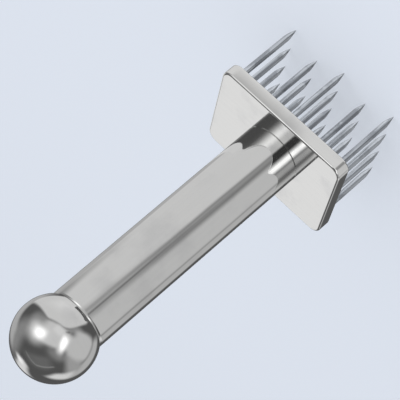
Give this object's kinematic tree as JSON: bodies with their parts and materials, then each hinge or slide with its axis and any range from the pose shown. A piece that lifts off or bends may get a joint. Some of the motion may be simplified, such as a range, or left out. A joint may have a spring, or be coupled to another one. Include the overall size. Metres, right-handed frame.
{
  "type": "needle meat tenderizer",
  "caption": "Hand meat tenderizer: pointed steel needles in a flat polished plate, with a straight tube handle that ends in a ball.",
  "frame": {"origin": "centre of the plane of the needle points, on the handle's axis", "axes": "+Z along the handle from the needle points to the ball, X along the plate's long side, Y along its short side"},
  "size_m": [0.059, 0.0486, 0.1625],
  "materials": {
    "polished_steel": "mirror-polished stainless steel with faint polishing lines",
    "ground_steel": "ground and lightly polished stainless steel",
    "plain_steel": "turned steel, hidden inside the handle"
  },
  "bodies": {
    "root": {"needle_plate": "polished_steel", "handle_tube": "polished_steel", "ball_knob": "polished_steel", "lower_plug": "plain_steel", "upper_plug": "plain_steel", "head_stud": "plain_steel", "knob_stud": "plain_steel", "needle_a1": "ground_steel", "needle_a2": "ground_steel", "needle_a3": "ground_steel", "needle_a4": "ground_steel", "needle_b1": "ground_steel", "needle_b2": "ground_steel", "needle_b3": "ground_steel", "needle_c1": "ground_steel", "needle_c2": "ground_steel", "needle_c3": "ground_steel", "needle_c4": "ground_steel", "needle_d1": "ground_steel", "needle_d2": "ground_steel", "needle_d3": "ground_steel", "needle_e1": "ground_steel", "needle_e2": "ground_steel", "needle_e3": "ground_steel", "needle_e4": "ground_steel"}
  },
  "joints": []
}
